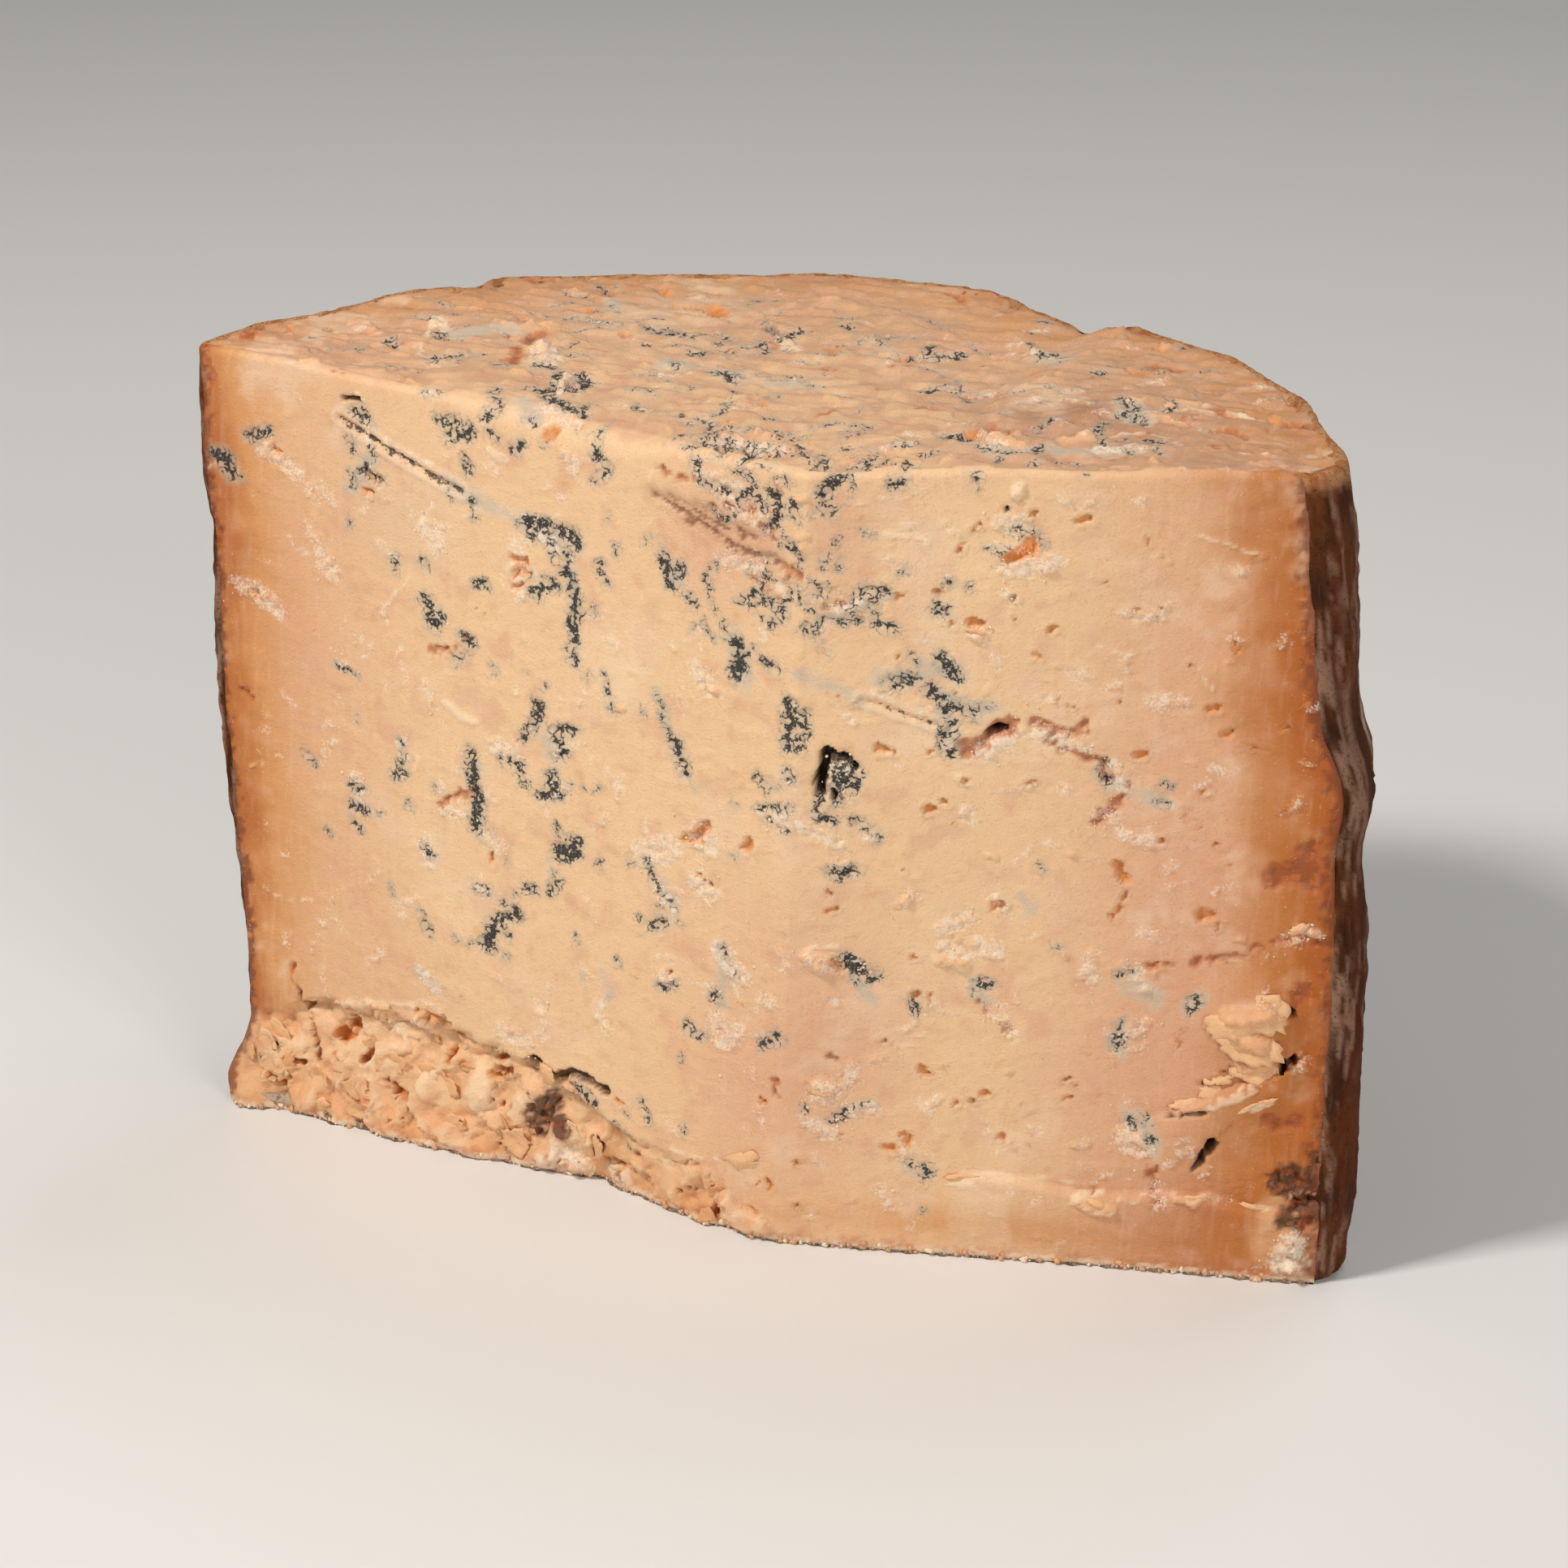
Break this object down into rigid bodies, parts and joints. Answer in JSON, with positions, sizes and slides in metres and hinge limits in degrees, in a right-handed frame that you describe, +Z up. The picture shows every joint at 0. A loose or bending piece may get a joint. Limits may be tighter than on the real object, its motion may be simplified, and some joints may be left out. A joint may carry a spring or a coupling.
{
  "type": "stilton wedge",
  "caption": "Tall wedge of blue-veined cheese: a little under half of a round truckle's lower half, with two knife-cut sides, a cut top and a curved browned rind.",
  "frame": {"origin": "middle of the bounding box's footprint, on the flat base", "axes": "+X along the wedge's longest side, towards the cut face's right-hand end; +Y from the two cut faces towards the curved rind; +Z up, out of the cut top"},
  "size_m": [0.2024, 0.1046, 0.1405],
  "materials": {
    "paste": "cream to pale orange cheese paste, faintly waxy, with blue-grey veins, browner towards the rind",
    "rind": "dry wrinkled brown rind with grey-mauve mould streaks"
  },
  "bodies": {
    "root": {"cheese_wedge": "paste"}
  },
  "joints": []
}
